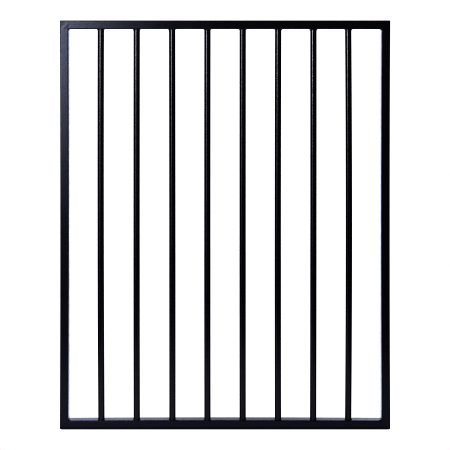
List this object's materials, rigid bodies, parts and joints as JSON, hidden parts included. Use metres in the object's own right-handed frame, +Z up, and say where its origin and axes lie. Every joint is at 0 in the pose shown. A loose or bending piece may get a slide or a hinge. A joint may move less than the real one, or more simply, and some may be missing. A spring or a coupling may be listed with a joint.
{
  "type": "window security bar",
  "caption": "Fixed welded window grille: a mitred square-tube frame with evenly spaced upright round bars, in black semi-gloss powder coat.",
  "frame": {"origin": "middle of the underside of the bottom rail, midway between the front and rear faces", "axes": "+X across the window, to the right seen from outside; -Y is the outside face and +Y the rear face; +Z up along the bars"},
  "size_m": [0.7588, 0.019, 0.9398],
  "materials": {
    "frame_powder_coat": "black semi-gloss powder coat, fine orange peel, on square steel tube",
    "bar_powder_coat": "black semi-gloss powder coat, slightly glossier than the frame, on round steel tube",
    "weld_powder_coat": "black semi-gloss powder coat over weld metal, softened ripples"
  },
  "bodies": {
    "root": {"top_rail": "frame_powder_coat", "bottom_rail": "frame_powder_coat", "left_stile": "frame_powder_coat", "right_stile": "frame_powder_coat", "bar_1": "bar_powder_coat", "bar_2": "bar_powder_coat", "bar_3": "bar_powder_coat", "bar_4": "bar_powder_coat", "bar_5": "bar_powder_coat", "bar_6": "bar_powder_coat", "bar_7": "bar_powder_coat", "bar_8": "bar_powder_coat", "bar_1_top_weld": "weld_powder_coat", "bar_1_bottom_weld": "weld_powder_coat", "bar_2_top_weld": "weld_powder_coat", "bar_2_bottom_weld": "weld_powder_coat", "bar_3_top_weld": "weld_powder_coat", "bar_3_bottom_weld": "weld_powder_coat", "bar_4_top_weld": "weld_powder_coat", "bar_4_bottom_weld": "weld_powder_coat", "bar_5_top_weld": "weld_powder_coat", "bar_5_bottom_weld": "weld_powder_coat", "bar_6_top_weld": "weld_powder_coat", "bar_6_bottom_weld": "weld_powder_coat", "bar_7_top_weld": "weld_powder_coat", "bar_7_bottom_weld": "weld_powder_coat", "bar_8_top_weld": "weld_powder_coat", "bar_8_bottom_weld": "weld_powder_coat", "top_left_corner_fillet": "weld_powder_coat", "top_right_corner_fillet": "weld_powder_coat", "bottom_left_corner_fillet": "weld_powder_coat", "bottom_right_corner_fillet": "weld_powder_coat", "top_left_mitre_weld": "weld_powder_coat", "top_right_mitre_weld": "weld_powder_coat", "bottom_left_mitre_weld": "weld_powder_coat", "bottom_right_mitre_weld": "weld_powder_coat"}
  },
  "joints": []
}
